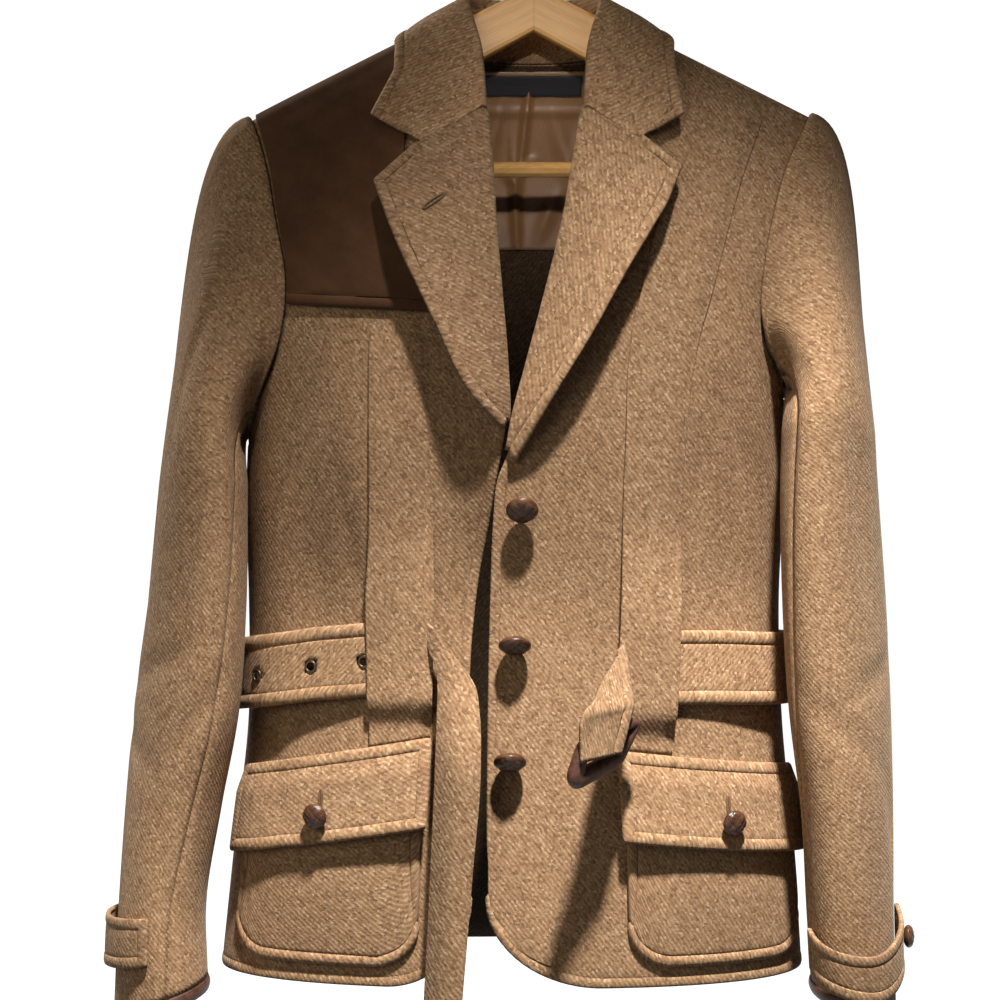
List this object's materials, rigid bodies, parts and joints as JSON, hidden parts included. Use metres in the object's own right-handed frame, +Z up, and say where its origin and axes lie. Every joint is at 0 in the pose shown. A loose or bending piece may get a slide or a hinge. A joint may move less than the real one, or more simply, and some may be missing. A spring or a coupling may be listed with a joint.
{
  "type": "belted tweed jacket on a wooden coat hanger",
  "caption": "Belted tweed jacket with notch lapels, suede shoulder patch, buttoned flap pockets and cuff tabs, hanging open on a wooden hanger with a trouser bar.",
  "frame": {"origin": "inside the top of the hook's bend, where a rail carries the hanger", "axes": "+Z up, -Y the jacket's front, +X the wearer's left"},
  "size_m": [0.5668, 0.2127, 0.8109],
  "materials": {
    "tweed": "coarse twill tweed",
    "suede": "brushed suede",
    "satin_lining": "satin",
    "label_cloth": "woven, bare",
    "leather_trim": "smooth",
    "button_leather": "glossy knot",
    "wood": "clear varnish",
    "hook_steel": "polished wire"
  },
  "bodies": {
    "root": {"back": "tweed", "collar": "tweed", "belt_round": "tweed", "belt_tail": "tweed", "belt_buckle_end": "tweed", "front_left": "tweed", "front_right": "tweed", "lapel_left": "tweed", "lapel_right": "tweed", "sleeve_upper_left": "tweed", "sleeve_upper_right": "tweed", "sleeve_under_left": "tweed", "sleeve_under_right": "tweed", "strip_left": "tweed", "strip_right": "tweed", "pocket_left": "tweed", "pocket_right": "tweed", "flap_left": "tweed", "flap_right": "tweed", "cuff_tab_left": "tweed", "cuff_tab_right": "tweed", "shoulder_patch": "suede", "lining": "satin_lining", "label": "label_cloth", "buckle": "leather_trim", "cuff_binding_left": "leather_trim", "cuff_binding_right": "leather_trim", "front_button_1": "button_leather", "front_button_2": "button_leather", "front_button_3": "button_leather", "flap_button_left": "button_leather", "flap_button_right": "button_leather", "cuff_button_left": "button_leather", "cuff_button_right": "button_leather", "hanger_arms": "wood", "hanger_bar": "wood", "hanger_hook": "hook_steel"}
  },
  "joints": []
}
